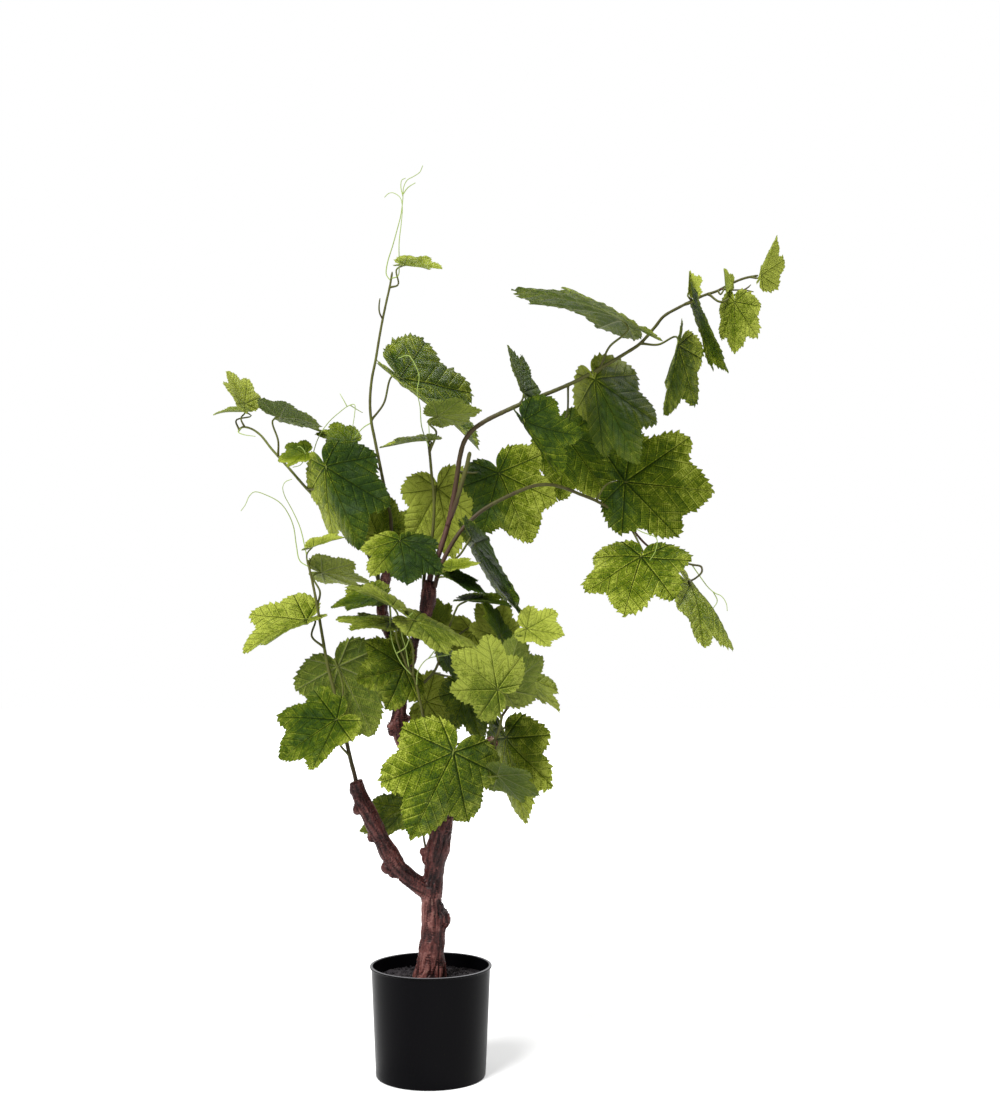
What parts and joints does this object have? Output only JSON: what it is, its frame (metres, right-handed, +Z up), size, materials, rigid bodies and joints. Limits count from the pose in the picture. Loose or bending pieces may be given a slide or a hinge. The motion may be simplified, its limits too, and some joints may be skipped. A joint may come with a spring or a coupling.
{
  "type": "potted grapevine",
  "caption": "Artificial grapevine in a round nursery pot: knotty trunk with cut arms, thin canes, curling tendrils and toothed lobed leaves.",
  "frame": {"origin": "centre of the pot's underside, on the surface that it stands on", "axes": "+Z up along the pot's axis, -Y towards the plant's front as pictured, +X to the right as seen from the front"},
  "size_m": [0.6273, 0.2846, 1.0109],
  "materials": {
    "pot": "satin black moulded plastic",
    "pot_filler": "rough cast weight under the soil",
    "soil": "dark grainy moss and crumbs",
    "trunk": "moulded dark reddish-brown bark",
    "foliage": "printed and embossed cloth leaves on wire canes"
  },
  "bodies": {
    "root": {"pot": "pot", "pot_filler": "pot_filler", "soil": "soil", "trunk": "trunk", "left_shoot": "foliage", "left_upper_shoot": "foliage", "upright_shoot": "foliage", "mid_shoot": "foliage", "right_shoot": "foliage", "arch_shoot": "foliage", "front_shoot": "foliage", "lower_right_shoot": "foliage", "inner_shoot": "foliage", "low_sprig": "foliage"}
  },
  "joints": []
}
